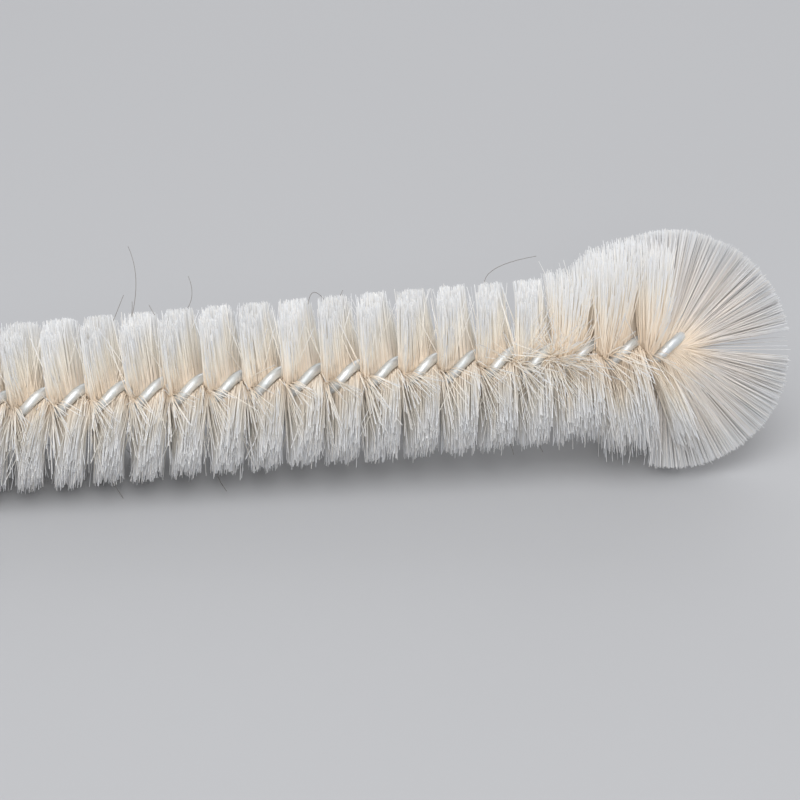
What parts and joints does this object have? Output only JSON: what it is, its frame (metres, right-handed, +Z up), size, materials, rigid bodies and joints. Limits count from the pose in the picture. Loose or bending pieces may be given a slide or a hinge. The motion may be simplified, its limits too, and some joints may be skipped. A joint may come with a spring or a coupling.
{
  "type": "test tube brush",
  "caption": "Laboratory cleaning brush of natural bristle held in a twisted wire, with a round bristle fan at the tip and a bare stem with a hanging eye; it scrubs the inside of tubes.",
  "frame": {"origin": "on the surface that the brush lies on, below the middle of its bounding box", "axes": "+Z up; the brush lies along X with its fan tip towards +X and its hanging eye towards -X, its axis rising towards the tip by about 3 degrees"},
  "size_m": [0.2429, 0.0282, 0.028],
  "materials": {
    "galvanised_wire": "satin",
    "head_bristle": "satin",
    "fan_bristle": "satin"
  },
  "bodies": {
    "root": {"wire": "galvanised_wire", "fan_upper": "fan_bristle", "fan_lower": "fan_bristle", "shoulder_long": "fan_bristle", "shoulder_step": "fan_bristle", "head_tuft_01": "head_bristle", "head_tuft_02": "head_bristle", "head_tuft_03": "head_bristle", "head_tuft_04": "head_bristle", "head_tuft_05": "head_bristle", "head_tuft_06": "head_bristle", "head_tuft_07": "head_bristle", "head_tuft_08": "head_bristle", "head_tuft_09": "head_bristle", "head_tuft_10": "head_bristle", "head_tuft_11": "head_bristle", "head_tuft_12": "head_bristle", "head_tuft_13": "head_bristle", "head_tuft_14": "head_bristle", "head_tuft_15": "head_bristle", "head_tuft_16": "head_bristle"}
  },
  "joints": []
}
